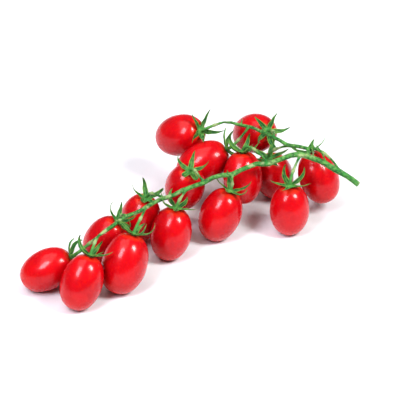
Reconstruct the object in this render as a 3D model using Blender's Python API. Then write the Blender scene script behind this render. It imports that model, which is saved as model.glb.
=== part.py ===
"""A truss of baby plum tomatoes, as picked: a forked green stem, fifteen fruits and their calyxes.

The truss lies on a flat surface, z = 0, with its cut end at the right and back and its tip at the left and front.
Fruits hang from the main stem and from a side branch, on pedicels that part at a knuckle. Each fruit, each calyx
with its end of the pedicel, the main stem and the side branch is one object.
"""

import math

import bmesh
import bpy
import numpy as np
from mathutils import Matrix, Quaternion, Vector

MM = 0.001

# Driving dimensions.
TRUSS_SPAN = 200 * MM
FRUIT_LENGTH = 37 * MM
FRUIT_WIDTH = 27 * MM
STEM_CUT_DIAMETER = 4.0 * MM
STEM_TIP_DIAMETER = 2.4 * MM
BRANCH_DIAMETER = 2.9 * MM
BRANCH_TIP_DIAMETER = 2.0 * MM
PEDICEL_DIAMETER = 1.7 * MM
KNUCKLE_DIAMETER = 2.5 * MM
STUB_DIAMETER = 1.1 * MM
HUB_RADIUS = 2.4 * MM
HUB_HEIGHT = 1.0 * MM
SEPAL_LENGTH = 15 * MM
SEPAL_WIDTH = 4.0 * MM
SEPAL_THICKNESS = 0.7 * MM
JOINT_GAP = 0.3 * MM
KNUCKLE_GAP = 0.42 * MM
FRUIT_GAP = 0.7 * MM
STRAND_GAP = 0.55 * MM
REST_SINK = 0.35 * MM
DIMPLE_DEPTH = 1.3 * MM
DIMPLE_RADIUS = 3.2 * MM
STEM_WANDER = 0.8 * MM
STEM_WAVE = 34 * MM

# Shares and exponents that shape one fruit and one pedicel.
FRUIT_FULLNESS = 0.86
KNUCKLE_SHARE = 0.52
PEDICEL_LEAN = 0.45
PEDICEL_RISE = 0.25
PEDICEL_LEAD = 7 * MM
NODE_SWELLING = 0.16

# How finely things are cut into faces.
FRUIT_SIDES = 14
FRUIT_ANGLES = [0, 7, 15, 27, 42, 58, 75, 93, 111, 129, 146, 163, 180]
STEM_SIDES = 6
CALYX_SIDES = 5
STEM_STEP = 7 * MM
ROUTE_STEP = 1 * MM
PEDICEL_STEP = 1.2 * MM
SHOOT_STEP = 2.2 * MM
SEPAL_SHARES = [0.14, 0.32, 0.52, 0.73, 0.9]
SEPAL_POINTS = 9
SEPAL_BEAD = 0.8 * MM

# How strands are bent clear of what is round them, and crowded fruits are moved apart.
SPHERES = 9
SETTLE_SWEEPS = 500
RELAX_ROUNDS = 140
LAST_PUSHES = 40
BEND_STIFFNESS = 0.35

# Stem routes, as (x, y) in truss spans and the height above the table in fruit lengths. The side branch starts on the
# main stem's side, at FORK_SHARE of its length.
FORK_SHARE = 0.2
MAIN_ROUTE = [
    (0.490, 0.385, 1.02),
    (0.445, 0.410, 1.14),
    (0.400, 0.432, 1.24),
    (0.345, 0.452, 1.34),
    (0.295, 0.462, 1.40),
    (0.220, 0.440, 1.36),
    (0.135, 0.415, 1.30),
    (0.060, 0.390, 1.25),
    (-0.020, 0.350, 1.22),
    (-0.100, 0.300, 1.19),
    (-0.170, 0.255, 1.16),
    (-0.240, 0.200, 1.14),
    (-0.300, 0.145, 1.12),
    (-0.350, 0.090, 1.10),
]
SIDE_ROUTE = [
    (0.240, 0.520, 1.46),
    (0.185, 0.568, 1.48),
    (0.130, 0.605, 1.48),
    (0.070, 0.640, 1.46),
]
ROUTES = {"main": MAIN_ROUTE, "side": SIDE_ROUTE}
STEM_NAMES = {"main": "main_stem", "side": "side_branch"}

# Fruits in order from the cut end: name, stem, share of the stem where its pedicel leaves (1 is the end), centre as
# (x, y) in truss spans and height in fruit lengths (None stands on the table), axis from blossom end to stem end,
# size, opening of the sepals in degrees above the fruit's shoulder, and turn of the calyx in degrees.
FRUITS = [
    ("tomato_01", "main", 0.085, (0.365, 0.530), 0.66, (-0.33, 0.35, 0.88), 1.00, 35, 10),
    ("tomato_02", "main", 0.225, (0.262, 0.385), None, (0.00, 0.10, 0.99), 0.98, 30, 40),
    ("tomato_03", "main", 0.345, (0.105, 0.490), 0.80, (0.00, 0.30, 0.95), 0.98, 50, 0),
    ("tomato_04", "main", 0.475, (0.030, 0.352), None, (0.35, 0.15, 0.92), 1.02, 35, 25),
    ("tomato_05", "main", 0.575, (-0.085, 0.435), 0.84, (0.20, -0.32, 0.90), 0.98, 45, 15),
    ("tomato_06", "main", 0.655, (-0.135, 0.248), None, (0.20, 0.20, 0.96), 1.00, 30, 50),
    ("tomato_07", "main", 0.735, (-0.235, 0.335), None, (0.25, -0.12, 0.95), 0.98, 50, 30),
    ("tomato_08", "main", 0.815, (-0.280, 0.072), None, (0.30, 0.40, 0.86), 1.10, 35, 5),
    ("tomato_09", "main", 0.885, (-0.350, 0.215), None, (0.50, 0.00, 0.85), 0.98, 55, 20),
    ("tomato_10", "main", 0.955, (-0.520, 0.060), None, (0.80, 0.15, 0.40), 0.98, 50, 35),
    ("tomato_11", "main", 1.000, (-0.425, -0.005), None, (0.31, 0.40, 0.86), 1.00, 40, 0),
    ("tomato_12", "side", 0.300, (0.215, 0.588), None, (-0.20, -0.20, 0.95), 0.98, 30, 0),
    ("tomato_13", "side", 0.500, (0.150, 0.700), 1.02, (0.45, -0.70, 0.55), 1.02, 25, 12),
    ("tomato_14", "side", 0.800, (-0.035, 0.560), 0.88, (0.87, 0.21, 0.45), 1.02, 35, 30),
    ("tomato_15", "side", 1.000, (-0.100, 0.680), 0.98, (0.70, -0.48, 0.50), 1.05, 20, 18),
]

# Stalks whose flowers set no fruit: name of the stem, share, direction and length.
BARE_STALKS = [
    ("main", 0.128, (-0.35, 0.10, 0.95), 13 * MM),
    ("main", 0.178, (0.05, -0.10, 1.00), 8 * MM),
    ("side", 0.650, (0.25, 0.10, 0.95), 4 * MM),
    ("side", 0.900, (0.45, 0.10, 0.90), 5 * MM),
]

STEM_GREEN = (0.20, 0.36, 0.07)
LEAF_GREEN = (0.16, 0.33, 0.06)
FRUIT_RED = (0.72, 0.02, 0.015)


# ---------------------------------------------------------------- geometry helpers
def unit(vector):
    vector = np.asarray(vector, dtype=float)
    return vector / np.linalg.norm(vector)


def square_to(along, vector):
    """The direction of the part of a vector that is square to another direction."""
    return unit(vector - along * np.dot(vector, along))


def smooth_route(points, step):
    """A Catmull-Rom curve through the points, read at even steps."""
    points = np.asarray(points, dtype=float)
    ends = [2 * points[0] - points[1], *points, 2 * points[-1] - points[-2]]
    fine = []
    for a, b, c, d in zip(ends, ends[1:], ends[2:], ends[3:]):
        for t in np.linspace(0, 1, 24, endpoint=False):
            square = (2 * a - 5 * b + 4 * c - d) * t**2
            cube = (3 * b - a - 3 * c + d) * t**3
            fine.append(0.5 * (2 * b + (c - a) * t + square + cube))
    fine.append(points[-1])
    return resample(fine, step)


def resample(points, step):
    """The same line with its points at even steps of about the length given."""
    points = np.asarray(points, dtype=float)
    along = np.concatenate([[0], np.cumsum(np.linalg.norm(np.diff(points, axis=0), axis=1))])
    count = max(3, round(along[-1] / step) + 1)
    wanted = np.linspace(0, along[-1], count)
    return np.stack([np.interp(wanted, along, points[:, k]) for k in range(3)], axis=1)


def wander(points, amount, wave):
    """The line with the small uneven bends of a grown stem, which die out at both ends."""
    share = np.linspace(0, 1, len(points))
    turns = math.tau * line_length(points) / wave * share
    fade = np.sin(math.pi * share) ** 0.5
    shift = np.stack([0.3 * np.sin(0.7 * turns + 1), np.sin(turns) + 0.4 * np.sin(2.3 * turns + 2),
                      np.sin(1.37 * turns + 0.6) + 0.35 * np.sin(2.9 * turns)], axis=1)
    return points + amount * fade[:, None] * shift


def line_length(points):
    return float(np.linalg.norm(np.diff(points, axis=0), axis=1).sum())


def at_share(points, share):
    """The place and the direction of a line at a share of its length."""
    along = np.concatenate([[0], np.cumsum(np.linalg.norm(np.diff(points, axis=0), axis=1))])
    where = share * along[-1]
    place = np.array([np.interp(where, along, points[:, k]) for k in range(3)])
    index = min(int(np.searchsorted(along, where, side="right")), len(points) - 1)
    index = max(index, 1)
    return place, unit(points[index] - points[index - 1])


def bezier(a, b, c, d, count):
    t = np.linspace(0, 1, count)[:, None]
    return a * (1 - t) ** 3 + 3 * b * t * (1 - t) ** 2 + 3 * c * t**2 * (1 - t) + d * t**3


def axis_frame(axis, turn):
    """A rotation that carries local Z to the axis, after a turn about it."""
    tilt = Vector((0, 0, 1)).rotation_difference(Vector(axis))
    return (tilt @ Quaternion((0, 0, 1), turn)).to_matrix()


# ---------------------------------------------------------------- fruit
def fruit_outline(size):
    """Half outline of a fruit from the stem pole to the blossom pole, as (radius, height)."""
    outline = []
    for degrees in FRUIT_ANGLES:
        a = math.radians(degrees)
        pole = degrees in (FRUIT_ANGLES[0], FRUIT_ANGLES[-1])
        radius = 0.0 if pole else size * FRUIT_WIDTH / 2 * math.sin(a) ** FRUIT_FULLNESS
        height = size * FRUIT_LENGTH / 2 * math.cos(a)
        if degrees < 90:
            height -= DIMPLE_DEPTH * math.exp(-((radius / DIMPLE_RADIUS) ** 2))
        outline.append((radius, height))
    return outline


def fruit_mesh(name, size):
    """The outline spun about local Z, with a pole at each end."""
    outline = fruit_outline(size)
    bm = bmesh.new()
    profile = [bm.verts.new((r, 0, z)) for r, z in outline]
    edges = [bm.edges.new(pair) for pair in zip(profile, profile[1:])]
    bmesh.ops.spin(
        bm, geom=profile + edges, axis=(0, 0, 1), cent=(0, 0, 0), angle=math.tau, steps=FRUIT_SIDES, use_merge=True
    )
    bmesh.ops.remove_doubles(bm, verts=bm.verts, dist=0.01 * MM)
    bmesh.ops.recalc_face_normals(bm, faces=bm.faces)
    mesh = bpy.data.meshes.new(name)
    bm.to_mesh(mesh)
    bm.free()
    return mesh


def inner_spheres(size):
    """Spheres on the fruit's axis that fill it: heights and radii."""
    angles = np.linspace(0, math.pi, 90)
    across = size * FRUIT_WIDTH / 2 * np.sin(angles) ** FRUIT_FULLNESS
    along = size * FRUIT_LENGTH / 2 * np.cos(angles)
    reach = size * (FRUIT_LENGTH - 0.72 * FRUIT_WIDTH) / 2
    heights = np.linspace(-reach, reach, SPHERES)
    radii = [np.hypot(across, along - height).min() for height in heights]
    return heights, np.array(radii)


class Fruit:
    """One tomato: where it is, which way it points and how big it is."""

    def __init__(self, row):
        self.name, self.stem, self.share, place, height, axis, self.size, opening, turn = row
        self.axis = unit(axis)
        self.opening = math.radians(opening)
        self.turn = math.radians(turn)
        self.frame = axis_frame(self.axis, self.turn)
        self.mesh = fruit_mesh(self.name, self.size)
        self.heights, self.radii = inner_spheres(self.size)
        self.standing = height is None
        self.low = min((self.frame @ v.co).z for v in self.mesh.vertices)
        rest = -self.low - REST_SINK
        z = rest if self.standing else max(height * FRUIT_LENGTH, rest)
        self.anchor = np.array([place[0] * TRUSS_SPAN, place[1] * TRUSS_SPAN, z])
        self.centre = self.anchor.copy()

    def spheres(self):
        return self.centre + self.heights[:, None] * self.axis, self.radii

    def body(self):
        """The fruit's spheres and one more about the crown of its calyx."""
        points, radii = self.spheres()
        crown = self.hub() + self.axis * HUB_HEIGHT
        return np.vstack([points, crown]), np.append(radii, HUB_RADIUS + SEPAL_THICKNESS)

    def hub(self):
        """Where the calyx's underside sits, just above the rim of the dimple."""
        sine = (HUB_RADIUS / (self.size * FRUIT_WIDTH / 2)) ** (1 / FRUIT_FULLNESS)
        rim = self.size * FRUIT_LENGTH / 2 * math.sqrt(1 - sine**2)
        rim -= DIMPLE_DEPTH * math.exp(-((HUB_RADIUS / DIMPLE_RADIUS) ** 2))
        return self.centre + self.axis * (rim + JOINT_GAP)


def deepest(centres_a, radii_a, centres_b, radii_b, gap):
    """How far two sets of spheres are inside each other's gap, and the direction that parts them."""
    away = centres_a[:, None] - centres_b[None]
    distance = np.linalg.norm(away, axis=2)
    short = radii_a[:, None] + radii_b[None] + gap - distance
    i, j = np.unravel_index(short.argmax(), short.shape)
    return short[i, j], away[i, j] / max(distance[i, j], 1e-9)


def settle(fruits, stem_points, stem_radii):
    """Move crowded fruits apart, and clear of the stems, while each stays near its chosen place."""
    for sweep in range(SETTLE_SWEEPS):
        pull = 0.04 * max(0.0, 1 - sweep / (0.7 * SETTLE_SWEEPS))
        for fruit in fruits:
            fruit.centre += (fruit.anchor - fruit.centre) * pull
        for i, one in enumerate(fruits):
            for other in fruits[:i]:
                if np.linalg.norm(one.centre - other.centre) > FRUIT_LENGTH * 1.3:
                    continue
                short, away = deepest(*one.body(), *other.body(), FRUIT_GAP)
                if short > 0:
                    one.centre += away * short / 2
                    other.centre -= away * short / 2
            short, away = deepest(*one.body(), stem_points, stem_radii, FRUIT_GAP)
            if short > 0:
                one.centre += away * short
        for fruit in fruits:
            rest = -fruit.low - REST_SINK
            fruit.centre[2] = rest if fruit.standing else max(fruit.centre[2], rest)


# ---------------------------------------------------------------- strands: pedicels and sepals
def relax(points, half, obstacles, radii, head, tail):
    """Bend a strand out of the spheres around it. Its first and last points stay, and it keeps its length."""
    points = points.copy()
    rest = points.copy()
    steps = np.linalg.norm(np.diff(rest, axis=0), axis=1)
    free = slice(head, len(points) - tail)
    for turn in range(RELAX_ROUNDS):
        bending = turn < RELAX_ROUNDS - LAST_PUSHES
        if bending:
            middle = (points[:-2] + points[2:]) / 2
            wanted = middle + (rest[1:-1] - (rest[:-2] + rest[2:]) / 2)
            points[1:-1] += (wanted - points[1:-1]) * BEND_STIFFNESS
        away = points[:, None] - obstacles[None]
        distance = np.linalg.norm(away, axis=2)
        short = radii[None] + half[:, None] + STRAND_GAP - distance
        worst = short.argmax(axis=1)
        row = np.arange(len(points))
        push = np.clip(short[row, worst], 0, None)
        points += away[row, worst] / np.maximum(distance[row, worst], 1e-9)[:, None] * push[:, None]
        points[:head] = rest[:head]
        if tail:
            points[-tail:] = rest[-tail:]
        elif bending:
            for k in range(head, len(points)):
                link = points[k] - points[k - 1]
                points[k] = points[k - 1] + link / np.linalg.norm(link) * steps[k - 1]
    return points


def fork_start(line, radii, aim):
    """The side branch's first two points. It leaves the main stem square, on the side towards its next point."""
    place, along = at_share(line, FORK_SHARE)
    radius = np.interp(FORK_SHARE, np.linspace(0, 1, len(radii)), radii)
    side = square_to(along, aim - place)
    root = place + side * (radius + JOINT_GAP)
    return np.array([root, root + side * BRANCH_DIAMETER])


class Obstacles:
    """A growing set of spheres that strands keep clear of."""

    def __init__(self):
        self.points = np.zeros((0, 3))
        self.radii = np.zeros(0)
        self.owners = []

    def add(self, owner, points, radii):
        self.points = np.concatenate([self.points, points])
        self.radii = np.concatenate([self.radii, np.broadcast_to(radii, len(points))])
        self.owners += [owner] * len(points)

    def without(self, *skipped):
        keep = np.array([owner not in skipped for owner in self.owners])
        return self.points[keep], self.radii[keep]


def pedicel_route(fruit, stem, stem_radius, obstacles):
    """From the stem's side, or from its end, to the fruit's hub, which it enters along the fruit's axis."""
    start, along = at_share(stem, fruit.share)
    hub = fruit.hub() + fruit.axis * HUB_HEIGHT
    lead = hub + fruit.axis * PEDICEL_LEAD
    if fruit.share >= 1:
        leave = along
    else:
        leave = square_to(along, lead - start)
        leave = unit(leave + PEDICEL_LEAN * along + np.array([0, 0, PEDICEL_RISE]))
        start = start + square_to(along, leave) * stem_radius * 0.6
    reach = np.linalg.norm(lead - start)
    route = bezier(start, start + leave * max(0.4 * reach, 3 * MM), lead, hub, 40)
    route = resample(route, PEDICEL_STEP)
    points, radii = obstacles.without()
    half = np.full(len(route), KNUCKLE_DIAMETER / 2)
    return relax(route, half, points, radii, head=4, tail=3)


def sepal_width(share):
    """Width of a sepal along its length: narrow at the hub, widest at a quarter, a fine tip."""
    grow = min(1.0, 0.84 + 0.64 * share)
    taper = max(0.0, 1 - max(0.0, share - 0.2) / 0.84) ** 0.85
    return SEPAL_WIDTH * grow * taper


def sepal_route(fruit, index, hub, obstacles):
    """Centre line of one sepal, which arches over the fruit's shoulder and lifts or curls at its tip."""
    around = math.tau * index / CALYX_SIDES
    vary = math.sin(5.1 * index + 23 * fruit.size + 7 * fruit.turn)
    outward = np.array(fruit.frame) @ np.array([math.cos(around), math.sin(around), 0])
    sideways = np.cross(fruit.axis, outward)
    step = SEPAL_LENGTH * (1 + 0.16 * vary) / (SEPAL_POINTS - 1)
    points = [hub + outward * HUB_RADIUS + fruit.axis * HUB_HEIGHT / 2]
    for share in np.linspace(0, 1, SEPAL_POINTS - 1):
        lift = fruit.opening * (0.3 + 0.9 * share + 1.1 * share**2) + 0.85 * vary * share**2
        swing = 0.8 * share**2 * math.sin(3.7 * index + 9 * fruit.turn)
        heading = math.cos(lift) * outward + math.sin(lift) * fruit.axis + swing * sideways
        points.append(points[-1] + unit(heading) * step)
    half = np.array([0.5 * MM + 0.28 * sepal_width(share) for share in np.linspace(0, 1, SEPAL_POINTS)])
    points_around, radii = obstacles.without(f"{fruit.name} stalk", f"{fruit.name} crown")
    return relax(np.array(points), half, points_around, radii, head=2, tail=0)


# ---------------------------------------------------------------- meshes along a line
def ring_frames(points):
    """Directions across a line at each point, turning as little as possible from one to the next."""
    tangents = [unit(b - a) for a, b in zip(points, points[1:])]
    directions = [tangents[0]] + [unit(a + b) for a, b in zip(tangents, tangents[1:])] + [tangents[-1]]
    across = Vector(directions[0]).orthogonal().normalized()
    frames = []
    previous = Vector(directions[0])
    for direction in directions:
        across = previous.rotation_difference(Vector(direction)) @ across
        previous = Vector(direction)
        frames.append((across.copy(), previous.cross(across).normalized()))
    return frames


def add_ring(bm, centre, across, up, radius, sides):
    """A ring of vertices about a point."""
    ring = []
    for k in range(sides):
        a = math.tau * k / sides
        ring.append(bm.verts.new(Vector(centre) + float(radius) * (math.cos(a) * across + math.sin(a) * up)))
    return ring


def join_rings(bm, one, other):
    """Faces between two rings of as many vertices, paired so that the total distance is least."""
    count = len(one)
    best = None
    for flip in (1, -1):
        for shift in range(count):
            pairs = [(one[k], other[(flip * k + shift) % count]) for k in range(count)]
            cost = sum((a.co - b.co).length_squared for a, b in pairs)
            if best is None or cost < best[0]:
                best = (cost, pairs)
    pairs = best[1]
    for (a, b), (c, d) in zip(pairs, pairs[1:] + pairs[:1]):
        bm.faces.new((a, c, d, b))


def add_tube(bm, points, radii, sides, first=None):
    """A tube along the points, joined to a ring that is there already, or capped. The far end is capped."""
    frames = ring_frames(points)
    rings = []
    for (across, up), centre, radius in zip(frames, points, radii):
        rings.append(add_ring(bm, centre, across, up, radius, sides))
    if first is None:
        bm.faces.new(rings[0])
    else:
        join_rings(bm, first, rings[0])
    for one, other in zip(rings, rings[1:]):
        for k in range(sides):
            n = (k + 1) % sides
            bm.faces.new((one[k], one[n], other[n], other[k]))
    bm.faces.new(rings[-1])
    return rings


def open_side(bm, one, other, direction):
    """Remove the two side faces between two rings about the vertex that looks most along the direction."""
    sides = len(one)
    middle = sum((v.co for v in one), Vector()) / sides
    best = max(range(sides), key=lambda k: (one[k].co - middle).dot(Vector(direction)))
    left, right = (best - 1) % sides, (best + 1) % sides
    doomed = []
    for a, b in ((left, best), (best, right)):
        corners = {one[a], one[b], other[a], other[b]}
        doomed += [face for face in one[a].link_faces if set(face.verts) == corners]
    bmesh.ops.delete(bm, geom=doomed, context="FACES_ONLY")
    return [one[left], one[best], one[right], other[right], other[best], other[left]]


# ---------------------------------------------------------------- stems
def split_at_knuckle(route):
    """The two halves of a pedicel's line, with the joint's gap between them."""
    length = line_length(route)
    fine = resample(route, 0.1 * MM)
    along = np.linspace(0, length, len(fine))
    middle = KNUCKLE_SHARE * length
    return fine[along <= middle - KNUCKLE_GAP / 2], fine[along >= middle + KNUCKLE_GAP / 2]


def near_radii(count):
    """Radii of a pedicel from the stem to just before its knuckle, where it swells."""
    t = np.linspace(0, 1, count)
    body = PEDICEL_DIAMETER / 2 * (1.25 - 0.3 * np.sin(math.pi * np.clip(t * 1.1, 0, 1)))
    swell = KNUCKLE_DIAMETER / 2 * 0.92
    return np.where(t > 0.86, swell, body)


def far_radii(count):
    """Radii of a pedicel from its hub up to its knuckle."""
    t = np.linspace(0, 1, count)
    body = PEDICEL_DIAMETER / 2 * (1.3 - 0.2 * t)
    return np.where(t > 0.8, KNUCKLE_DIAMETER / 2, body)


def stem_radii(points, first, last, nodes):
    """Radius along a stem: an even taper, a little swollen where each pedicel leaves."""
    share = np.linspace(0, 1, len(points))
    radii = first / 2 + (last - first) / 2 * share
    for node in nodes:
        radii = radii * (1 + NODE_SWELLING * np.exp(-(((share - node) * line_length(points) / (2.5 * MM)) ** 2)))
    return radii


def stem_mesh(name, points, radii, shoots):
    """A stem with its shoots. Each shoot is (share, line, radii), and grows from a side left open between two rings."""
    length = line_length(points)
    mouth = PEDICEL_DIAMETER * 0.75
    stations = []
    for share, _line, _radii in shoots:
        stations += [share * length - mouth, share * length + mouth]
    marks = sorted(stations + [0.0, length])
    for a, b in zip(marks, marks[1:]):
        extra = int((b - a) // STEM_STEP)
        stations += [a + (b - a) * k / (extra + 1) for k in range(1, extra + 1)]
    stations = sorted(stations + [0.0, length])
    centres = [at_share(points, s / length)[0] for s in stations]
    sizes = [np.interp(s, np.linspace(0, length, len(radii)), radii) for s in stations]
    bm = bmesh.new()
    rings = add_tube(bm, centres, sizes, STEM_SIDES)
    for share, line, thickness in shoots:
        index = stations.index(share * length - mouth)
        mouth_ring = open_side(bm, rings[index], rings[index + 1], line[1] - line[0])
        add_tube(bm, line, thickness, STEM_SIDES, first=mouth_ring)
    bmesh.ops.recalc_face_normals(bm, faces=bm.faces)
    mesh = bpy.data.meshes.new(name)
    bm.to_mesh(mesh)
    bm.free()
    return mesh


def shoot_line(route, stem_radius):
    """The part of a route that stands clear of its stem, at even steps."""
    fine = resample(route, 0.1 * MM)
    clear = np.linalg.norm(fine - fine[0], axis=1) > stem_radius * 0.75
    return resample(fine[clear], SHOOT_STEP)


# ---------------------------------------------------------------- calyx
def calyx_mesh(fruit, sepals, stalk):
    """Five keeled sepals about a pentagonal hub, with the far end of the pedicel standing on it."""
    bm = bmesh.new()
    frame = np.array(fruit.frame)
    hub = fruit.hub()

    def around(turns, radius, height):
        a = math.tau * turns / CALYX_SIDES
        return Vector(hub + frame @ np.array([radius * math.cos(a), radius * math.sin(a), height]))

    corner_radius = HUB_RADIUS / math.cos(math.pi / CALYX_SIDES)
    sides = range(CALYX_SIDES)
    corners = [bm.verts.new(around(k - 0.5, corner_radius, HUB_HEIGHT * 0.65)) for k in sides]
    keels = [bm.verts.new(around(k, HUB_RADIUS * 0.95, 0)) for k in sides]
    valleys = [bm.verts.new(around(k, HUB_RADIUS * 0.9, HUB_HEIGHT * 1.05)) for k in sides]
    collar = [bm.verts.new(around(k, PEDICEL_DIAMETER * 0.68, HUB_HEIGHT * 1.5)) for k in sides]
    bm.faces.new(keels)
    for k in sides:
        n = (k + 1) % CALYX_SIDES
        bm.faces.new((keels[k - 1], corners[k], keels[k]))
        bm.faces.new((collar[k], valleys[k], corners[n], valleys[n], collar[n]))
        add_sepal(bm, fruit, k, sepals[k], [corners[k], keels[k], corners[n], valleys[k]])
    add_tube(bm, stalk, far_radii(len(stalk)), CALYX_SIDES, first=collar)
    bmesh.ops.recalc_face_normals(bm, faces=bm.faces)
    mesh = bpy.data.meshes.new("calyx")
    bm.to_mesh(mesh)
    bm.free()
    return mesh


def add_sepal(bm, fruit, index, route, root):
    """One sepal: rings of four (two margins, the keel outside, the valley inside) and a pointed tip."""
    around = math.tau * index / CALYX_SIDES
    across = np.array(fruit.frame) @ np.array([-math.sin(around), math.cos(around), 0])
    twist = 0.7 * math.sin(4.1 * index + 6 * fruit.turn + 3)
    previous = root
    for share in SEPAL_SHARES:
        centre, along = at_share(route, share)
        across = square_to(along, across)
        normal = np.cross(along, across)
        turn = twist * share
        wide = across * math.cos(turn) + normal * math.sin(turn)
        inner = normal * math.cos(turn) - across * math.sin(turn)
        width = sepal_width(share)
        thick = SEPAL_THICKNESS * (1 - 0.5 * share)
        cup = 0.16 * width
        ring = [
            bm.verts.new(centre - wide * width / 2 + inner * cup),
            bm.verts.new(centre - inner * thick / 2),
            bm.verts.new(centre + wide * width / 2 + inner * cup),
            bm.verts.new(centre + inner * thick / 2),
        ]
        for k in range(4):
            n = (k + 1) % 4
            bm.faces.new((previous[k], previous[n], ring[n], ring[k]))
        previous = ring
    tip = bm.verts.new(route[-1])
    for k in range(4):
        bm.faces.new((previous[k], previous[(k + 1) % 4], tip))


# ---------------------------------------------------------------- objects
def add_object(name, mesh, matrix, colour, roughness, root):
    """A named object with a material of its own, parented to the truss's empty."""
    material = bpy.data.materials.new(name)
    material.use_nodes = True
    shader = material.node_tree.nodes["Principled BSDF"]
    shader.inputs["Base Color"].default_value = (*colour, 1)
    shader.inputs["Roughness"].default_value = roughness
    mesh.name = name
    mesh.materials.append(material)
    mesh.shade_smooth()
    obj = bpy.data.objects.new(name, mesh)
    bpy.context.collection.objects.link(obj)
    obj.matrix_world = matrix
    obj.parent = root
    return obj


def cut_at_table(mesh, matrix):
    """Flatten a fruit where it rests: what would reach below the table is cut off."""
    bm = bmesh.new()
    bm.from_mesh(mesh)
    bm.transform(matrix)
    everything = bm.verts[:] + bm.edges[:] + bm.faces[:]
    cut = bmesh.ops.bisect_plane(bm, geom=everything, plane_co=(0, 0, 0), plane_no=(0, 0, 1), clear_inner=True)
    rim = [item for item in cut["geom_cut"] if isinstance(item, bmesh.types.BMEdge)]
    if rim:
        bmesh.ops.contextual_create(bm, geom=rim)
    bm.transform(matrix.inverted())
    bmesh.ops.recalc_face_normals(bm, faces=bm.faces)
    bm.to_mesh(mesh)
    bm.free()


def grow_stems(fruits):
    """Centre line and radii of the main stem and of the side branch that leaves it."""
    ends = {"main": (STEM_CUT_DIAMETER, STEM_TIP_DIAMETER), "side": (BRANCH_DIAMETER, BRANCH_TIP_DIAMETER)}
    scale = np.array([TRUSS_SPAN, TRUSS_SPAN, FRUIT_LENGTH])
    lines, thickness = {}, {}
    for stem, (first, last) in ends.items():
        route = np.array(ROUTES[stem]) * scale
        if stem == "side":
            route = np.vstack([fork_start(lines["main"], thickness["main"], route[0]), route])
        nodes = [fruit.share for fruit in fruits if fruit.stem == stem]
        nodes += [share for which, share, _direction, _length in BARE_STALKS if which == stem]
        lines[stem] = wander(smooth_route(route, ROUTE_STEP), STEM_WANDER, STEM_WAVE)
        thickness[stem] = stem_radii(lines[stem], first, last, nodes)
    return lines, thickness


def radius_at(radii, share):
    return np.interp(share, np.linspace(0, 1, len(radii)), radii)


def grow_pedicels(fruits, lines, thickness, obstacles):
    """Shoots for the stems, the stems' own last stretches, and the calyxes' stalks."""
    shoots, tails, stalks = {stem: [] for stem in lines}, {}, {}
    for fruit in fruits:
        radius = radius_at(thickness[fruit.stem], fruit.share)
        route = pedicel_route(fruit, lines[fruit.stem], radius, obstacles)
        obstacles.add(f"{fruit.name} pedicel", route[:-4], KNUCKLE_DIAMETER / 2)
        obstacles.add(f"{fruit.name} stalk", route[-4:], PEDICEL_DIAMETER / 2)
        near, far = split_at_knuckle(route)
        clear_of_hub = far[np.linalg.norm(far - far[-1], axis=1) > 0.8 * HUB_HEIGHT]
        stalks[fruit.name] = resample(clear_of_hub[::-1], 1.9 * MM)
        if fruit.share >= 1:
            tails[fruit.stem] = near
        else:
            line = shoot_line(near, radius)
            shoots[fruit.stem].append((fruit.share, line, near_radii(len(line))))
    return shoots, tails, stalks


def grow_bare_stalks(lines, thickness, obstacles, shoots):
    """Short stalks without fruits, added to the stems' shoots."""
    for stem, share, direction, length in BARE_STALKS:
        start, along = at_share(lines[stem], share)
        lean = unit(direction) * length
        route = bezier(start, start + 0.4 * lean, start + 0.8 * lean, start + lean + along * length / 4, 12)
        points, radii = obstacles.without(stem)
        route = relax(route, np.full(len(route), STUB_DIAMETER / 2), points, radii, head=4, tail=0)
        obstacles.add(f"stub {share}", route, STUB_DIAMETER / 2)
        line = shoot_line(route, radius_at(thickness[stem], share))
        shoots[stem].append((share, line, STUB_DIAMETER / 2 * np.linspace(1.2, 0.8, len(line))))


def grow_sepals(fruit, obstacles):
    """Centre lines of a fruit's five sepals."""
    routes = []
    for index in range(CALYX_SIDES):
        route = sepal_route(fruit, index, fruit.hub(), obstacles)
        beads = resample(route[2:], SEPAL_BEAD)
        shares = np.linspace(2 / (len(route) - 1), 1, len(beads))
        halves = np.array([SEPAL_THICKNESS / 2 + sepal_width(share) / 2 for share in shares])
        obstacles.add(f"{fruit.name} sepal {index}", beads, halves)
        routes.append(route)
    return routes


def whole_stem_mesh(name, line, radii, tail, shoots):
    """A stem's mesh, run on to the knuckle of the fruit at its end."""
    whole = resample(np.concatenate([line, tail[1:]]), ROUTE_STEP)
    before, after = line_length(line), line_length(whole)
    end_radii = near_radii(40)
    marks = np.concatenate([np.linspace(0, before, len(radii)), np.linspace(before, after, 41)[1:]])
    all_radii = np.interp(np.linspace(0, after, len(whole)), marks, np.concatenate([radii, end_radii]))
    moved = [(share * before / after, route, size) for share, route, size in shoots]
    return stem_mesh(name, whole, all_radii, moved)


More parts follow.
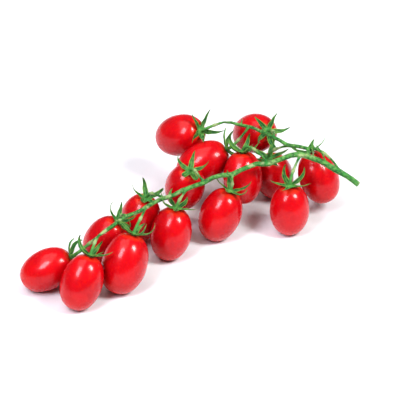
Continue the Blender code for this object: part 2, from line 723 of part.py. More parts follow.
def main():
    for obj in list(bpy.data.objects):
        bpy.data.objects.remove(obj)
    root = bpy.data.objects.new("truss", None)
    bpy.context.collection.objects.link(root)

    fruits = [Fruit(row) for row in FRUITS]
    lines, thickness = grow_stems(fruits)
    settle(fruits, np.concatenate(list(lines.values())), np.concatenate(list(thickness.values())))
    obstacles = Obstacles()
    for stem in lines:
        obstacles.add(stem, lines[stem], thickness[stem])
    for fruit in fruits:
        obstacles.add(fruit.name, *fruit.spheres())
    shoots, tails, stalks = grow_pedicels(fruits, lines, thickness, obstacles)
    grow_bare_stalks(lines, thickness, obstacles, shoots)
    for fruit in fruits:
        crown = fruit.hub() + fruit.axis * HUB_HEIGHT
        obstacles.add(f"{fruit.name} crown", crown[None], HUB_RADIUS + SEPAL_LENGTH / (SEPAL_POINTS - 1))

    made = []
    for stem, name in STEM_NAMES.items():
        mesh = whole_stem_mesh(name, lines[stem], thickness[stem], tails[stem], shoots[stem])
        made.append(add_object(name, mesh, Matrix.Identity(4), STEM_GREEN, 0.55, root))
    for fruit in fruits:
        matrix = Matrix.Translation(Vector(fruit.centre)) @ fruit.frame.to_4x4()
        cut_at_table(fruit.mesh, matrix)
        made.append(add_object(fruit.name, fruit.mesh, matrix, FRUIT_RED, 0.25, root))
        hub = Matrix.Translation(Vector(fruit.hub()))
        mesh = calyx_mesh(fruit, grow_sepals(fruit, obstacles), stalks[fruit.name])
        mesh.transform(hub.inverted())
        made.append(add_object(fruit.name.replace("tomato", "calyx"), mesh, hub, LEAF_GREEN, 0.6, root))

    corners = np.array([obj.matrix_world @ v.co for obj in made for v in obj.data.vertices])
    low, high = corners.min(axis=0), corners.max(axis=0)
    root.location = (-(low[0] + high[0]) / 2, -(low[1] + high[1]) / 2, 0)


main()
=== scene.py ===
# %% [markdown]
# # A truss of baby plum tomatoes
#
# A truss is one flower stalk of a tomato plant, cut off with its ripe fruits. This lesson dresses a plain model of
# one: fifteen red fruits, their green calyxes, and a forked stem. The plain model comes first and stays as it is. It
# fixes where everything sits. Every finished piece below is measured from it, so nothing is placed by eye.

# %% Load the plain model
import math
import random

import bmesh
import bpy
import numpy as np
from mathutils import Matrix, Vector, noise


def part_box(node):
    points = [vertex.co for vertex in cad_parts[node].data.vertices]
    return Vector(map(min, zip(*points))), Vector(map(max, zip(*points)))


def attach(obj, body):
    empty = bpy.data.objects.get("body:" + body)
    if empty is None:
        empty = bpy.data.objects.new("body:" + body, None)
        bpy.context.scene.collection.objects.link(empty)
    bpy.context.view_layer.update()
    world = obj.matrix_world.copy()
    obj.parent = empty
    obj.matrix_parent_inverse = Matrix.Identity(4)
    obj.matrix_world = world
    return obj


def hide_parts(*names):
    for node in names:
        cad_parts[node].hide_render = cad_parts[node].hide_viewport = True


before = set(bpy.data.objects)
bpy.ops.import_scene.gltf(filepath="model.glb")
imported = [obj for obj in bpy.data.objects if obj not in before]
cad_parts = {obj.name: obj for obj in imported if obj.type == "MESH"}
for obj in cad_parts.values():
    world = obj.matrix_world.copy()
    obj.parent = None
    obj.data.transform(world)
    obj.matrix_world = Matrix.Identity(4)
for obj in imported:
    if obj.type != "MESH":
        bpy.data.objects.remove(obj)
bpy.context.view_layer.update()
MM = 0.001
FRUITS = [name[-2:] for name in sorted(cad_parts) if name.startswith("tomato")]
print("fruits to dress:", len(FRUITS))

# %% [markdown]
# ## Reading the plain model
#
# The plain model's meshes are loose triangles. Merged, they become proper surfaces again, and their build shows: a
# fruit is a stack of rings about its axis, a sepal is a chain of rings of four, and a stalk a chain of rings of five.
# Walking over a mesh edge by edge from one vertex visits such rings one after the other. So a short helper that
# collects these layers is all it takes to find every axis, centre line and width.

# %% Helpers that walk a mesh


def merged(node):
    """An editable copy of a plain node with its triangles joined."""
    bm = bmesh.new()
    bm.from_mesh(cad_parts[node].data)
    bmesh.ops.remove_doubles(bm, verts=bm.verts, dist=0.01 * MM)
    bm.verts.ensure_lookup_table()
    return bm


def layers_from(start, blocked=()):
    """Sets of vertices one edge, two edges, and so on from the starting ones."""
    seen = set(start) | set(blocked)
    layers = [list(start)]
    while layers[-1]:
        found = []
        for vertex in layers[-1]:
            for edge in vertex.link_edges:
                other = edge.other_vert(vertex)
                if other not in seen:
                    seen.add(other)
                    found.append(other)
        layers.append(found)
    return layers[:-1]


def middle(vertices):
    return sum((v.co for v in vertices), Vector()) / len(vertices)


# %% Measure each fruit
# The whole fruits, which the table has not flattened, have two poles where fourteen edges meet. One of them gives the
# outline that all fruits share, as rings of (radius, height) in fruit widths.


def fruit_rings(number):
    """Rings of one fruit from its stem pole, with the pole itself first."""
    bm = merged("tomato_" + number)
    crown = sum(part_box("calyx_" + number), Vector()) / 2
    sides = max(len(v.link_edges) for v in bm.verts)
    poles = [v for v in bm.verts if len(v.link_edges) == sides]
    stem_pole = min(poles, key=lambda v: (v.co - crown).length)
    rings = [[v.co.copy() for v in layer] for layer in layers_from([stem_pole])]
    bm.free()
    return rings


def centre_of(ring):
    return sum(ring, Vector()) / len(ring)


rings_of = {number: fruit_rings(number) for number in FRUITS}
WIDEST = 6
measures = {}
for number, rings in rings_of.items():
    centre = centre_of(rings[WIDEST])
    axis = (rings[0][0] - centre).normalized()
    width = 2 * max((p - centre).length for p in rings[WIDEST])
    turn = (rings[WIDEST][0] - centre).normalized()
    measures[number] = {"centre": centre, "axis": axis, "width": width, "turn": turn, "pole": rings[0][0]}
whole = max(FRUITS, key=lambda n: len(rings_of[n][-1]) == 1 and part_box("tomato_" + n)[0].z)
model = measures[whole]
outline = []
for ring in rings_of[whole]:
    offset = centre_of(ring) - model["centre"]
    outline.append(((ring[0] - centre_of(ring)).length / model["width"], offset.dot(model["axis"]) / model["width"]))
print("outline rings:", len(outline), "fruit length / width:", round(outline[0][1] - outline[-1][1], 3))

# %% [markdown]
# ## Smooth lines through measured points
#
# The plain model gives few points on each line: thirteen on a fruit's outline, seven along a sepal. A Catmull-Rom
# curve passes through every point it is given, so the finished pieces keep the plain model's size and only become
# rounder. The same helper serves outlines, centre lines, widths and directions, since it works on rows of numbers.

# %% A curve through rows of numbers


def through(rows, steps):
    """Rows of numbers on a smooth curve through the given rows, with so many steps between two of them."""
    rows = np.asarray(rows, dtype=float)
    padded = [2 * rows[0] - rows[1], *rows, 2 * rows[-1] - rows[-2]]
    curve = []
    for a, b, c, d in zip(padded, padded[1:], padded[2:], padded[3:]):
        for t in np.arange(steps) / steps:
            square = (2 * a - 5 * b + 4 * c - d) * t**2
            cube = (3 * b - a - 3 * c + d) * t**3
            curve.append(0.5 * (2 * b + (c - a) * t + square + cube))
    curve.append(rows[-1])
    return np.array(curve)


# %% [markdown]
# ## The fruits
#
# A plum tomato is close to a turned shape, so its half outline is spun about its axis. What makes it look grown and
# not turned is small: the shoulders have shallow lobes, the skin is drawn into fine puckers around the calyx, and no
# two sides bulge alike. Those are moves of single vertices by a fraction of a millimetre. A ripe fruit also flattens
# a little where its weight rests on the table.

# %% Spin one fruit
SPIN_STEPS = 60
OUTLINE_STEPS = 4
LOBE = 0.010
PUCKER_DEPTH = 0.22 * MM
PUCKER_RADIUS = 3.9 * MM
DENT = 0.16 * MM
DENT_SIZE = 11 * MM


def finish_mesh(bm, name):
    """A smooth-shaded object at the origin made from a bmesh, riding on the truss."""
    mesh = bpy.data.meshes.new(name)
    bm.to_mesh(mesh)
    bm.free()
    mesh.shade_smooth()
    piece = bpy.data.objects.new(name, mesh)
    bpy.context.scene.collection.objects.link(piece)
    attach(piece, "root")
    return piece


def fruit_frame(number):
    """The matrix that carries local Z to the fruit's axis and the local origin to its centre."""
    m = measures[number]
    side = (m["turn"] - m["axis"] * m["turn"].dot(m["axis"])).normalized()
    turned = Matrix((side, m["axis"].cross(side), m["axis"])).transposed().to_4x4()
    return Matrix.Translation(m["centre"]) @ turned


def shape_skin(co, seed):
    """Move one point of the turned fruit to where a grown skin would be."""
    radius = math.hypot(co.x, co.y)
    angle = math.atan2(co.y, co.x)
    upper = min(max(co.z / (12 * MM), 0), 1)
    lobes = math.cos(2 * angle + seed) + 0.7 * math.cos(3 * angle + 2.3 * seed)
    grown = 1 + LOBE * lobes * (0.35 + 0.65 * upper)
    rays = 0.5 + 0.5 * math.cos(10 * angle + 1.5 * math.sin(3 * angle + seed))
    near = math.exp(-(((radius - PUCKER_RADIUS) / (1.3 * MM)) ** 2)) * upper
    bulge = DENT * noise.noise(co / DENT_SIZE + Vector((seed, 0, 0)))
    outward = co.normalized() * bulge
    return Vector((co.x * grown, co.y * grown, co.z - PUCKER_DEPTH * rays * near)) + outward


def make_fruit(number):
    width = measures[number]["width"]
    seed = 1.7 * int(number)
    bm = bmesh.new()
    curve = through([(r, z) for r, z in outline], OUTLINE_STEPS) * width
    profile = [bm.verts.new((max(r, 0), 0, z)) for r, z in curve]
    edges = [bm.edges.new(pair) for pair in zip(profile, profile[1:])]
    bmesh.ops.spin(
        bm, geom=profile + edges, axis=(0, 0, 1), cent=(0, 0, 0), angle=math.tau, steps=SPIN_STEPS, use_merge=True
    )
    bmesh.ops.remove_doubles(bm, verts=bm.verts, dist=0.005 * MM)
    bmesh.ops.recalc_face_normals(bm, faces=bm.faces)
    top, bottom = curve[0][1], curve[-1][1]
    along = bm.verts.layers.float.new("along")
    for vertex in bm.verts:
        vertex[along] = (top - vertex.co.z) / (top - bottom)
        vertex.co = shape_skin(vertex.co, seed)
    bm.transform(fruit_frame(number))
    for vertex in bm.verts:
        vertex.co.z = max(vertex.co.z, 0)
    piece = finish_mesh(bm, "fruit_" + number)
    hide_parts("tomato_" + number)
    return piece


fruits = [make_fruit(number) for number in FRUITS]
print("fruits:", len(fruits), "with", len(fruits[0].data.polygons), "faces each")

# %% [markdown]
# ## Reading the calyxes
#
# Each plain calyx has five pointed sepals, a hub and a stalk. A sepal's tip is a vertex with four neighbours, and the
# layers around it are rings of four: two margins, the keel outside and the valley inside. What no sepal claims is the
# stalk, in rings of five from the hub up to the knuckle.

# %% Take one calyx apart
SEPAL_RINGS = 6


def sepal_rows(layers, axis):
    """Rows of (centre, across, normal, width) from the hub to the tip."""
    rows = []
    across, normal = None, Vector(axis)
    for ring in reversed(layers[1 : SEPAL_RINGS + 1]):
        points = [v.co for v in ring]
        pairs = [(a, b) for i, a in enumerate(points) for b in points[:i]]
        left, right = max(pairs, key=lambda pair: (pair[0] - pair[1]).length)
        keel, valley = [p for p in points if p is not left and p is not right]
        if (valley - keel).dot(normal) < 0:
            keel, valley = valley, keel
        span = right - left
        if across is not None and span.dot(across) < 0:
            span = -span
        across, normal = span.normalized(), (valley - keel).normalized()
        rows.append([*(keel + valley) / 2, *across, *normal, span.length])
    tip = layers[0][0].co
    rows.append([*tip, *across, *normal, 0.05 * MM])
    return rows


def read_calyx(number):
    """The sepals' rows, and the stalk's (centre, radius) rows from the hub to the knuckle."""
    bm = merged("calyx_" + number)
    axis = measures[number]["axis"]
    sepals, taken, valleys = [], set(), []
    for vertex in bm.verts:
        layers = layers_from([vertex])
        if [len(layer) for layer in layers[: SEPAL_RINGS + 1]] == [1] + [4] * SEPAL_RINGS:
            sepals.append(sepal_rows(layers, axis))
            taken.update(v for layer in layers[: SEPAL_RINGS + 1] for v in layer)
            valleys.append(max(layers[SEPAL_RINGS], key=lambda v: v.co.dot(axis)))
    free = [v for v in bm.verts if v not in taken]
    collar = [v for v in free if any(edge.other_vert(v) in valleys for edge in v.link_edges)]
    stalk = []
    for ring in layers_from(collar, taken):
        centre = middle(ring)
        radius = sum((v.co - centre).length for v in ring) / len(ring)
        stalk.append([*centre, radius])
    bm.free()
    return {"sepals": sepals, "stalk": stalk}


calyx_of = {number: read_calyx(number) for number in FRUITS}
print("sepals found:", sum(len(c["sepals"]) for c in calyx_of.values()))

# %% [markdown]
# ## Sepals
#
# A tomato's sepal is a narrow leaf: pointed, a little cupped, with a groove over its midrib, margins that roll and
# wave, and a tip that dries and curls. Each starts as a flat grid, which gets a second layer for its thickness. Then
# every vertex is carried to its place along the measured centre line. Its position on the grid, across and along, is
# kept as an attribute, because the leaf's colours follow it too.

# %% Build one sepal
LEAF_COLUMNS = 8
LEAF_STEPS = 4
LEAF_THICKNESS = 0.34 * MM
MIDRIB_DEPTH = 0.14 * MM
MARGIN_WAVE = 0.20 * MM


def leaf_place(row, across, share, seed, upper):
    """Where a grid point goes: across runs from -1 to 1 and share from the hub to the tip."""
    centre, side, normal, width = Vector(row[0:3]), Vector(row[3:6]), Vector(row[6:9]), max(row[9], 0)
    side.normalize()
    normal.normalize()
    half = width / 2 * (1 + 0.07 * math.sin(17 * share + seed) * across)
    cup = 0.20 * width * across**2
    rib = MIDRIB_DEPTH * math.exp(-((across / 0.18) ** 2)) * (1 - share)
    wave = MARGIN_WAVE * across**2 * math.sin(21 * share + seed + 2 * across)
    thick = LEAF_THICKNESS * (1 - 0.75 * share) * (1 - 0.8 * across**4) * upper
    return centre + side * across * half + normal * (cup - rib + wave * (1 - share) - 0.12 * MM + thick)


def add_leaf(bm, rows, seed):
    """One sepal as a closed leaf in the given bmesh."""
    fine = through(rows, LEAF_STEPS)
    last = len(fine) - 1
    leaf = bmesh.new()
    marks = {name: leaf.verts.layers.float.new(name) for name in ("across", "reach", "inner")}
    bmesh.ops.create_grid(leaf, x_segments=LEAF_COLUMNS, y_segments=last, size=0.5)
    for vertex in leaf.verts:
        vertex[marks["across"]] = 2 * vertex.co.x
        vertex[marks["reach"]] = vertex.co.y + 0.5
    lower = set(leaf.verts)
    bmesh.ops.solidify(leaf, geom=leaf.faces[:], thickness=-0.1)
    for vertex in leaf.verts:
        upper = vertex not in lower
        across, share = vertex[marks["across"]], vertex[marks["reach"]]
        vertex[marks["inner"]] = float(upper)
        vertex.co = leaf_place(fine[round(share * last)], across, share, seed, upper)
    bmesh.ops.recalc_face_normals(leaf, faces=leaf.faces)
    add_parts(bm, leaf)


def add_parts(bm, part):
    """Append one bmesh to another, attributes included."""
    carrier = bpy.data.meshes.new("carrier")
    part.to_mesh(carrier)
    part.free()
    bm.from_mesh(carrier)
    bpy.data.meshes.remove(carrier)


# %% [markdown]
# ## Hub and stalk
#
# The five sepals meet in a small green hub, turned like a button. The stalk on it is a tube that swells at its far end
# into the knuckle, where a ripe fruit breaks off. A curve with a radius at each point and a round bevel makes such a
# tube without a twist.

# %% Tubes and buttons
HUB_OUTLINE = [(0, -0.85), (1.6, -0.85), (2.35, -0.55), (2.75, 0), (2.3, 0.42), (1.7, 0.62), (1.25, 1.1), (0, 1.3)]
ROPE_ROUND = 4


def rope(rows, steps, extend):
    """A mesh tube through rows of (x, y, z, radius), run on a little past its last row."""
    fine = through(rows, steps)
    beyond = fine[-1].copy()
    beyond[:3] += (fine[-1][:3] - fine[-2][:3]) / np.linalg.norm(fine[-1][:3] - fine[-2][:3]) * extend
    fine = np.vstack([fine, beyond])
    curve = bpy.data.curves.new("rope", "CURVE")
    curve.dimensions = "3D"
    curve.bevel_depth = 1
    curve.bevel_resolution = ROPE_ROUND
    curve.use_fill_caps = True
    spline = curve.splines.new("POLY")
    spline.points.add(len(fine) - 1)
    for point, row in zip(spline.points, fine):
        point.co = (*row[:3], 1)
        point.radius = row[3]
    holder = bpy.data.objects.new("rope", curve)
    bpy.context.scene.collection.objects.link(holder)
    bpy.context.view_layer.update()
    mesh = bpy.data.meshes.new_from_object(holder.evaluated_get(bpy.context.evaluated_depsgraph_get()))
    bpy.data.objects.remove(holder)
    return mesh


def add_hub(bm, centre, axis):
    """A turned button about the fruit's axis."""
    button = bmesh.new()
    curve = through(HUB_OUTLINE, 3) * MM
    profile = [button.verts.new((max(r, 0), 0, z)) for r, z in curve]
    edges = [button.edges.new(pair) for pair in zip(profile, profile[1:])]
    bmesh.ops.spin(
        button, geom=profile + edges, axis=(0, 0, 1), cent=(0, 0, 0), angle=math.tau, steps=20, use_merge=True
    )
    bmesh.ops.remove_doubles(button, verts=button.verts, dist=0.005 * MM)
    bmesh.ops.recalc_face_normals(button, faces=button.faces)
    turn = Vector((0, 0, 1)).rotation_difference(axis).to_matrix().to_4x4()
    button.transform(Matrix.Translation(centre) @ turn)
    add_parts(bm, button)


def make_calyx(number):
    found = calyx_of[number]
    bm = bmesh.new()
    for name in ("across", "reach", "inner", "pale"):
        bm.verts.layers.float.new(name)
    for index, rows in enumerate(found["sepals"]):
        add_leaf(bm, rows, seed=2.1 * index + 0.9 * int(number))
    roots = [Vector(rows[0][:3]) for rows in found["sepals"]]
    add_hub(bm, sum(roots, Vector()) / len(roots), measures[number]["axis"])
    stalk = bmesh.new()
    stalk.from_mesh(rope(found["stalk"], 3, extend=0.45 * MM))
    bmesh.ops.remove_doubles(stalk, verts=stalk.verts, dist=0.005 * MM)
    knuckle = Vector(found["stalk"][-1][:3])
    pale = stalk.verts.layers.float.new("pale")
    for vertex in stalk.verts:
        vertex[pale] = math.exp(-(((vertex.co - knuckle).length / (1.7 * MM)) ** 2))
    add_parts(bm, stalk)
    piece = finish_mesh(bm, "leaves_" + number)
    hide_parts("calyx_" + number)
    return piece


calyxes = [make_calyx(number) for number in FRUITS]
print("calyxes:", len(calyxes), "with about", len(calyxes[0].data.polygons), "faces each")

# %% [markdown]
# ## The stem
#
# The main stem and its side branch grew as one, so they are finished as one piece. Their plain meshes are six-sided
# tubes with shoots growing out of their sides. Remeshed into small voxels and smoothed, the tubes turn round and every
# fork gets the soft collar a living stem has. A small ball fills the joint where the side branch meets the main stem.

# %% Grow the two stems together
STEM_VOXEL = 0.30 * MM
COLLAR_RADIUS = 1.55 * MM


def nearest_place(of_node, to_node):
    """The middle of the vertices of one node that are nearest to another node."""
    one, other = merged(of_node), merged(to_node)
    ranked = sorted(one.verts, key=lambda v: min((v.co - w.co).length for w in other.verts))
    place = middle(ranked[:6])
    one.free()
    other.free()
    return place


fork = nearest_place("side_branch", "main_stem")
bm = merged("main_stem")
side = merged("side_branch")
add_parts(bm, side)
bmesh.ops.create_icosphere(bm, subdivisions=2, radius=COLLAR_RADIUS, matrix=Matrix.Translation(fork))
stem = finish_mesh(bm, "stem_and_branch")
remesh = stem.modifiers.new("voxels", "REMESH")
remesh.mode = "VOXEL"
remesh.voxel_size = STEM_VOXEL
remesh.use_smooth_shade = True
soften = stem.modifiers.new("soften", "SMOOTH")
soften.factor = 0.5
soften.iterations = 6
bpy.context.view_layer.update()
grown = bpy.data.meshes.new_from_object(stem.evaluated_get(bpy.context.evaluated_depsgraph_get()))
stem.modifiers.clear()
stem.data = grown
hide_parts("main_stem", "side_branch")
print("stem faces:", len(stem.data.polygons), "fork at", [round(c / MM, 1) for c in fork])

# %% [markdown]
# ## Fine hairs
#
# Tomato stems and sepals are downy. The down is too fine to see hair by hair from a distance, but it softens every
# green outline. Each hair is a cone with three sides, standing on a random face of its piece and leaning a little. The
# random numbers are seeded, so the same hairs grow each time. They are grown in small tufts, because adding to a small
# mesh is quick.

# %% Plant the hairs
HAIR_LENGTH = 0.70 * MM
HAIR_RADIUS = 0.026 * MM
HAIR_LEAN = 0.35
TUFT = 100
STEM_TUFTS = 42
LEAF_TUFTS = 2


def add_hair(tuft, dice, face):
    """One thin cone that stands on a face of a mesh."""
    lean = Vector([dice.uniform(-HAIR_LEAN, HAIR_LEAN) for _axis in range(3)])
    way = (face.normal + lean).normalized()
    length = HAIR_LENGTH * dice.uniform(0.5, 1)
    turned = Vector((0, 0, 1)).rotation_difference(way).to_matrix().to_4x4()
    place = Matrix.Translation(face.center + way * 0.45 * length) @ turned
    bmesh.ops.create_cone(
        tuft, cap_ends=True, segments=3, radius1=HAIR_RADIUS, radius2=HAIR_RADIUS / 8, depth=length, matrix=place
    )


def plant_hairs(name, pieces, tufts):
    """A piece made of hairs that stand on the given pieces, so many tufts on each."""
    dice = random.Random(name)
    hairs = bmesh.new()
    for piece in pieces:
        faces = piece.data.polygons
        for _tuft in range(tufts):
            tuft = bmesh.new()
            for _hair in range(TUFT):
                add_hair(tuft, dice, faces[dice.randrange(len(faces))])
            add_parts(hairs, tuft)
    planted = finish_mesh(hairs, name)
    return planted


down = [
    plant_hairs("stem_hairs", [stem], STEM_TUFTS),
    plant_hairs("leaf_hairs", calyxes, LEAF_TUFTS),
]
print("hair faces:", sum(len(piece.data.polygons) for piece in down))

# %% [markdown]
# ## Writing materials as arithmetic
#
# A procedural material is a sum of masks and colours. Wiring that by hand hides the idea, so a small class stands for
# one socket, and Python's own operators on it add the Math nodes. Every other node comes from one method. Colours
# are mixed with Mix nodes, because a Math node would turn them grey.

# %% The socket class and the paint class


class Wire:
    """The value on one socket. Arithmetic on it adds Math nodes to its paint."""

    def __init__(self, paint, socket):
        self.paint = paint
        self.socket = socket

    def _math(self, operation, first, second, clamp=False):
        return self.paint.node("Math", {"operation": operation, "use_clamp": clamp}, {0: first, 1: second})

    def __add__(self, other):
        return self._math("ADD", self, other)

    def __radd__(self, other):
        return self._math("ADD", other, self)

    def __sub__(self, other):
        return self._math("SUBTRACT", self, other)

    def __rsub__(self, other):
        return self._math("SUBTRACT", other, self)

    def __mul__(self, other):
        return self._math("MULTIPLY", self, other)

    def __rmul__(self, other):
        return self._math("MULTIPLY", other, self)

    def __truediv__(self, other):
        return self._math("DIVIDE", self, other)

    def __pow__(self, other):
        return self._math("POWER", self, other)

    def __lt__(self, other):
        return self._math("LESS_THAN", self, other)

    def __gt__(self, other):
        return self._math("GREATER_THAN", self, other)


class Paint:
    """A material whose nodes are written as expressions."""

    def __init__(self, name):
        self.material = bpy.data.materials.new(name)
        self.material.use_nodes = True
        self.tree = self.material.node_tree
        self.shader = self.tree.nodes["Principled BSDF"]

    def node(self, kind, settings=None, values=None, out=0):
        """Add a node: its settings first, then the values or links of its sockets. Returns one output."""
        made = self.tree.nodes.new("ShaderNode" + kind)
        for key, value in (settings or {}).items():
            if key == "stops":
                self._set_stops(made.color_ramp, value)
            else:
                setattr(made, key, value)
        for key, value in (values or {}).items():
            self.feed(made.inputs[key], value)
        return Wire(self, made.outputs[out])

    def _set_stops(self, ramp, stops):
        while len(ramp.elements) < len(stops):
            ramp.elements.new(1.0)
        for element, (position, colour) in zip(ramp.elements, stops):
            element.position = position
            element.color = (*colour, 1)

    def feed(self, socket, value):
        """Link a wire into a socket, or set the socket's own value."""
        if isinstance(value, Wire):
            self.tree.links.new(value.socket, socket)
        elif isinstance(value, (tuple, list)) and socket.type == "RGBA":
            socket.default_value = (*value, 1)
        else:
            socket.default_value = value

    def surface(self, **inputs):
        """Feed the Principled shader; underscores in a name stand for spaces."""
        for name, value in inputs.items():
            self.feed(self.shader.inputs[name.replace("_", " ")], value)

    def place(self):
        return self.node("TexCoord", out="Object")

    def mark(self, name):
        """A number stored on the piece's vertices."""
        return self.node("Attribute", {"attribute_name": name}, out="Fac")

    def noise(self, size, detail=2, where=None, roughness=0.5):
        """Soft noise with blobs of about the size given, from 0 to 1."""
        values = {"Vector": where or self.place(), "Scale": 1 / size, "Detail": detail, "Roughness": roughness}
        return self.node("TexNoise", {}, values, out="Fac")

    def mix(self, share, first, second):
        """A colour between two others."""
        return self.node("Mix", {"data_type": "RGBA"}, {0: share, 6: first, 7: second}, out=2)

    def step(self, value, low, high):
        """0 below low, 1 above high and smooth between them."""
        values = {"Value": value, "From Min": low, "From Max": high}
        return self.node("MapRange", {"interpolation_type": "SMOOTHSTEP"}, values)

    def bump(self, height, strength, distance, below=None):
        values = {"Height": height, "Strength": strength, "Distance": distance}
        if below is not None:
            values["Normal"] = below
        return self.node("Bump", {}, values)


# %% [markdown]
# ## Ripe skin
#
# A ripe tomato is almost pure red with a clear waxy layer over it, so its shine is white and sharp while the flesh
# under the skin glows softly. The red is warmer towards the tip, and a painted highlight turns the shoulders orange in
# a ring round the stalk. Faint mottling, pin-prick pale dots and a few streaks from the stalk keep it from looking
# like plastic. A tiny corky scar marks the tip, where the flower was.

# %% Paint the fruits
RED = (0.51, 0.001, 0.007)
DEEP_RED = (0.42, 0.001, 0.007)
WARM_RED = (0.60, 0.014, 0.003)
DOT_RED = (0.85, 0.16, 0.07)
# The next colour is a painted highlight, laid as an orange ring on the shoulders round the stalk.
SHOULDER_HIGHLIGHT = (0.70, 0.070, 0.012)
SCAR = (0.30, 0.15, 0.05)

skin = Paint("ripe_skin")
along = skin.mark("along")
patches = skin.noise(14 * MM, 2)
mottle = skin.noise(2.2 * MM, 4)
colour = skin.mix(skin.step(patches, 0.35, 0.68), RED, DEEP_RED)
colour = skin.mix(skin.step(mottle, 0.45, 0.75) * 0.35, colour, WARM_RED)
colour = skin.mix(skin.step(along, 0.6, 1.0) * 0.35, colour, WARM_RED)
cells = skin.node("TexVoronoi", {}, {"Vector": skin.place(), "Scale": 1 / (1.3 * MM)}, out="Distance")
dots = (1 - skin.step(cells, 0.05, 0.13)) * skin.step(skin.noise(3 * MM), 0.5, 0.65)
colour = skin.mix(dots * 0.45, colour, DOT_RED)
# Painted highlight: the shoulders turn orange in a ring round the stalk.
colour = skin.mix((1 - skin.step(along, 0.015, 0.050)) * 0.25, colour, SHOULDER_HIGHLIGHT)
colour = skin.mix(skin.step(along, 0.9965, 0.9995) * 0.8, colour, SCAR)
wax = skin.noise(5 * MM, 3)
pores = skin.noise(0.35 * MM, 2)
skin.surface(
    Base_Color=colour,
    Roughness=0.20 + 0.14 * wax,
    Specular_IOR_Level=0.22,
    Subsurface_Weight=0.15,
    Subsurface_Radius=(1.0, 0.12, 0.06),
    Subsurface_Scale=1.5 * MM,
    Coat_Weight=0.30,
    Coat_Roughness=0.08,
    Normal=skin.bump(pores + 0.6 * mottle, 0.10, 0.12 * MM),
)
for piece in fruits:
    piece.data.materials.append(skin.material)

# %% [markdown]
# ## Green parts
#
# Sepals are leaves: deeper green inside, bluer and paler outside, with a light midrib, yellow-green margins and a dry
# tip. Stems are a brighter green with pale knuckles. Both are covered with very short hairs, which scatter light at
# grazing angles. The sheen of the shader does the same.

# %% Paint the sepals
LEAF_INNER = (0.007, 0.075, 0.020)
LEAF_OUTER = (0.012, 0.140, 0.030)
LEAF_EDGE = (0.200, 0.370, 0.070)
LEAF_RIB = (0.090, 0.280, 0.065)
LEAF_TIP = (0.120, 0.120, 0.040)
PALE_GREEN = (0.460, 0.500, 0.260)

leaf = Paint("sepal_green")
reach, across, inner, pale = (leaf.mark(name) for name in ("reach", "across", "inner", "pale"))
spread = leaf.node("Math", {"operation": "ABSOLUTE"}, {0: across})
colour = leaf.mix(inner, LEAF_OUTER, LEAF_INNER)
colour = leaf.mix(leaf.step(leaf.noise(3 * MM, 3), 0.4, 0.7) * 0.45, colour, LEAF_EDGE)
colour = leaf.mix(leaf.step(spread, 0.62, 0.95) * 0.85, colour, LEAF_EDGE)
on_leaf = leaf.step(reach, 0.0, 0.03)
colour = leaf.mix((1 - leaf.step(spread, 0.05, 0.2)) * on_leaf * 0.7, colour, LEAF_RIB)
colour = leaf.mix(leaf.step(reach + 0.15 * leaf.noise(2 * MM), 0.86, 1.05), colour, LEAF_TIP)
colour = leaf.mix((1 - leaf.step(reach, 0.0, 0.16)) * 0.5, colour, LEAF_RIB)
colour = leaf.mix(pale * 0.85, colour, PALE_GREEN)
fuzz = leaf.noise(0.25 * MM, 3)
leaf.surface(
    Base_Color=colour,
    Roughness=0.52 + 0.2 * fuzz,
    Specular_IOR_Level=0.22,
    Subsurface_Weight=0.12,
    Subsurface_Radius=(0.5, 1.0, 0.2),
    Subsurface_Scale=0.6 * MM,
    Sheen_Weight=0.03,
    Normal=leaf.bump(fuzz + leaf.noise(1.0 * MM), 0.35, 0.10 * MM),
)
for piece in calyxes:
    piece.data.materials.append(leaf.material)

# %% Mark the stem's knuckles and its cut, and paint it
STEM_GREEN = (0.018, 0.180, 0.030)
STEM_LIGHT = (0.105, 0.290, 0.065)
STEM_DARK = (0.005, 0.075, 0.016)
STEM_SPECK = (0.330, 0.400, 0.150)
CUT_PALE = (0.560, 0.600, 0.330)

joints = [Vector(c["stalk"][-1][:3]) for c in calyx_of.values()]
cut_x = max(v.co.x for v in stem.data.vertices)
pale_marks = stem.data.attributes.new("pale", "FLOAT", "POINT")
cut_marks = stem.data.attributes.new("cut", "FLOAT", "POINT")
for index, vertex in enumerate(stem.data.vertices):
    near = min((vertex.co - joint).length for joint in joints)
    pale_marks.data[index].value = math.exp(-((near / (2.0 * MM)) ** 2))
    cut_marks.data[index].value = math.exp(-(((cut_x - vertex.co.x) / (1.2 * MM)) ** 2))

bark = Paint("stem_green")
pale, cut = bark.mark("pale"), bark.mark("cut")
colour = bark.mix(bark.step(bark.noise(9 * MM, 3), 0.35, 0.65), STEM_GREEN, STEM_LIGHT)
colour = bark.mix(bark.step(bark.noise(1.8 * MM, 4), 0.40, 0.60) * 0.75, colour, STEM_DARK)
colour = bark.mix(bark.step(bark.noise(0.9 * MM, 3), 0.56, 0.70) * 0.6, colour, STEM_SPECK)
colour = bark.mix(bark.step(bark.noise(6 * MM, 3), 0.54, 0.68) * 0.50, colour, PALE_GREEN)
colour = bark.mix(pale * 0.9, colour, PALE_GREEN)
colour = bark.mix(cut * 0.5, colour, CUT_PALE)
fuzz = bark.noise(0.25 * MM, 3)
bark.surface(
    Base_Color=colour,
    Roughness=0.5 + 0.2 * fuzz,
    Specular_IOR_Level=0.22,
    Subsurface_Weight=0.15,
    Subsurface_Radius=(0.6, 1.0, 0.3),
    Subsurface_Scale=1.0 * MM,
    Sheen_Weight=0.04,
    Normal=bark.bump(fuzz + bark.noise(0.9 * MM), 0.4, 0.12 * MM),
)
stem.data.materials.append(bark.material)

# %% Paint the hairs
HAIR_PALE = (0.480, 0.560, 0.330)
HAIR_GREEN = (0.250, 0.400, 0.150)

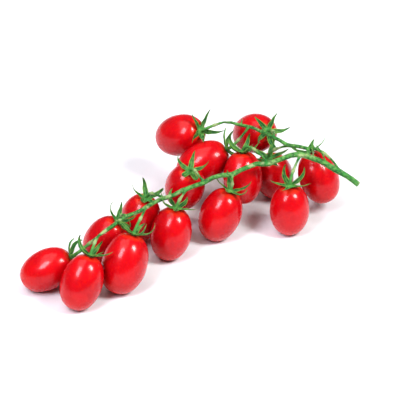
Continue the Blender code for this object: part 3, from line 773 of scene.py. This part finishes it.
fluff = Paint("pale_down")
fluff.surface(
    Base_Color=fluff.mix(fluff.step(fluff.noise(3 * MM, 2), 0.35, 0.65), HAIR_PALE, HAIR_GREEN),
    Roughness=0.45 + 0.2 * fluff.noise(1 * MM),
    Subsurface_Weight=0.2,
    Subsurface_Radius=(0.8, 1.0, 0.6),
    Subsurface_Scale=0.1 * MM,
)
for piece in down:
    piece.data.materials.append(fluff.material)
print("paints:", [m.name for m in bpy.data.materials if m.users and m.use_nodes][-3:])

# %% [markdown]
# ## Table, light and camera
#
# The truss lies on a pale table in soft studio light: a big box light at the front left, a smaller and brighter one at
# the right, and light from all round, so that the glossy skin shows two soft highlights and no hard shadow. The camera
# looks down on the truss at a low angle through a long lens.

# %% Table and light
floor_bm = bmesh.new()
bmesh.ops.create_grid(floor_bm, x_segments=1, y_segments=1, size=3)
floor_mesh = bpy.data.meshes.new("table")
floor_bm.to_mesh(floor_mesh)
floor_bm.free()
table = bpy.data.objects.new("table", floor_mesh)
bpy.context.scene.collection.objects.link(table)
cloth = Paint("table_white")
cloth.surface(Base_Color=(0.75, 0.78, 0.80), Roughness=0.8)
table.data.materials.append(cloth.material)


def box_light(name, place, aim, size, power, colour=(1, 1, 1)):
    data = bpy.data.lights.new(name, "AREA")
    data.shape = "RECTANGLE"
    data.size, data.size_y = size
    data.energy = power
    data.color = colour
    lamp = bpy.data.objects.new(name, data)
    lamp.location = place
    lamp.rotation_euler = (Vector(aim) - Vector(place)).to_track_quat("-Z", "Y").to_euler()
    bpy.context.scene.collection.objects.link(lamp)


middle_of_truss = (0.0, 0.0, 0.03)
box_light("left_box", (-0.45, -0.55, 0.85), middle_of_truss, (0.36, 0.58), 9.5, (0.94, 0.89, 1.0))
box_light("right_box", (0.62, -0.30, 0.80), middle_of_truss, (0.28, 0.38), 10)
box_light("top_box", (-0.30, 0.05, 1.05), middle_of_truss, (1.0, 0.8), 5, (1.0, 0.94, 0.88))
world = bpy.data.worlds.new("studio")
world.use_nodes = True
world.node_tree.nodes["Background"].inputs["Color"].default_value = (1, 1, 1, 1)
world.node_tree.nodes["Background"].inputs["Strength"].default_value = 0.20
bpy.context.scene.world = world
bpy.context.scene.view_settings.view_transform = "Standard"
bpy.context.scene.view_settings.look = "Medium High Contrast"

# %% Camera
CAMERA_AIM = Vector((0.0114, -0.0106, 0.030))
CAMERA_DISTANCE = 1.4
CAMERA_ELEVATION = math.radians(35)
CAMERA_WIDTH = 0.277

camera_data = bpy.data.cameras.new("camera")
camera_data.sensor_width = 36
camera_data.lens = 36 * CAMERA_DISTANCE / CAMERA_WIDTH
camera = bpy.data.objects.new("camera", camera_data)
back = Vector((0, -math.cos(CAMERA_ELEVATION), math.sin(CAMERA_ELEVATION)))
camera.location = CAMERA_AIM + back * CAMERA_DISTANCE
camera.rotation_euler = (-back).to_track_quat("-Z", "Y").to_euler()
bpy.context.scene.collection.objects.link(camera)
bpy.context.scene.camera = camera
